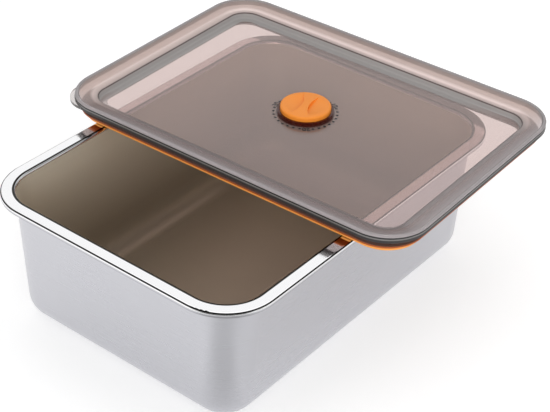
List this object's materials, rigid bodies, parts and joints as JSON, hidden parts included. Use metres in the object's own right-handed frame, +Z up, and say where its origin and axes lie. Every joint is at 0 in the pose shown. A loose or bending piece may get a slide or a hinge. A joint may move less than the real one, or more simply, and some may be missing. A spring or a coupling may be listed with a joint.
{
  "type": "dough proofing container",
  "caption": "Rectangular drawn-steel dough tub with a flanged rim, and a smoky translucent plug lid with a silicone gasket and a turning date dial.",
  "frame": {"origin": "middle of the tub's flat base, on the surface that it stands on", "axes": "+X along the tub's long side, towards the end that the lid lies over; +Z up"},
  "size_m": [0.2842, 0.2622, 0.1056],
  "materials": {
    "tub_steel": "satin walls with a polished flange",
    "lid_plastic": "smoky translucent, polished",
    "gasket_silicone": "satin silicone",
    "knob_plastic": "satin moulded",
    "seal_silicone": "satin silicone",
    "clip_steel": "spring steel"
  },
  "bodies": {
    "tub": {"tub": "tub_steel"},
    "lid": {"lid": "lid_plastic", "lid_gasket": "gasket_silicone"},
    "dial": {"dial_knob": "knob_plastic", "dial_seal": "seal_silicone", "dial_clip": "clip_steel"}
  },
  "joints": [
    {"name": "lid_lift", "type": "slide", "parent": "tub", "child": "lid", "axis": [0, 0, 1], "range_m": [0, 0.12]},
    {"name": "dial_turn", "type": "hinge", "parent": "lid", "child": "dial", "pos_m": [0.05363, 0.0005, 0.0977], "axis": [0, 0, 1], "continuous": true}
  ]
}
